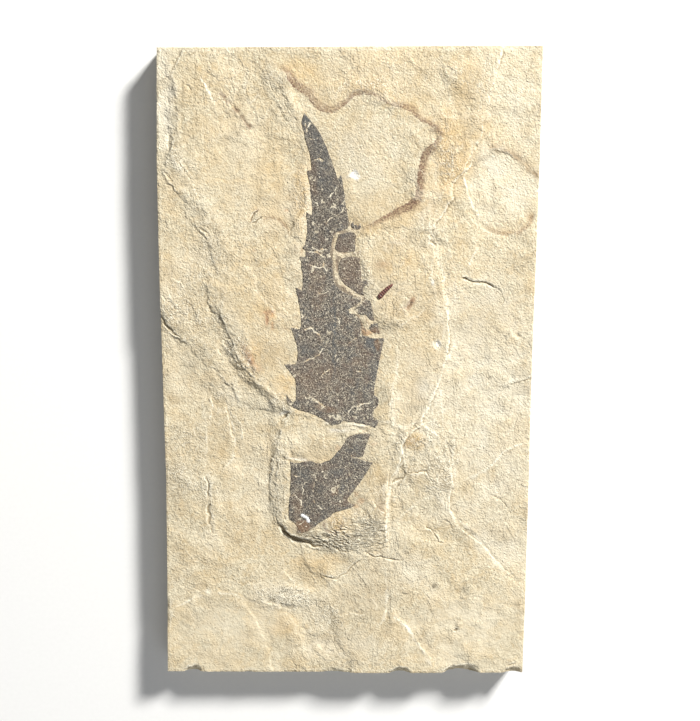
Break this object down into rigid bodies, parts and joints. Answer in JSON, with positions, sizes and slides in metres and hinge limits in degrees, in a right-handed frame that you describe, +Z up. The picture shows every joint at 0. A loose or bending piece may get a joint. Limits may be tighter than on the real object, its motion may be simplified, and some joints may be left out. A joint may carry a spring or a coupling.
{
  "type": "fossil leaf plate",
  "caption": "Sawn rectangular limestone slab with a dark, broken, coarsely toothed fossil leaf pressed on its split face.",
  "frame": {"origin": "middle of the slab's sawn back", "axes": "+X to the right across the fossil face, +Y towards the leaf's tip, +Z up out of the fossil face"},
  "size_m": [0.1008, 0.1716, 0.0111],
  "materials": {
    "limestone": "matt, cream to tan, iron-stained split face with fine grain",
    "leaf_carbon": "matt dark brown-grey carbon film, finely speckled",
    "twig_brown": "matt red-brown carbon film"
  },
  "bodies": {
    "root": {"stone_plate": "limestone", "leaf_blade": "leaf_carbon", "leaf_base": "leaf_carbon", "leaf_tile_upper": "leaf_carbon", "leaf_tile_middle": "leaf_carbon", "leaf_tile_worn": "leaf_carbon", "leaf_tile_edge": "leaf_carbon", "leaf_crumb": "leaf_carbon", "twig_fragment": "twig_brown"}
  },
  "joints": []
}
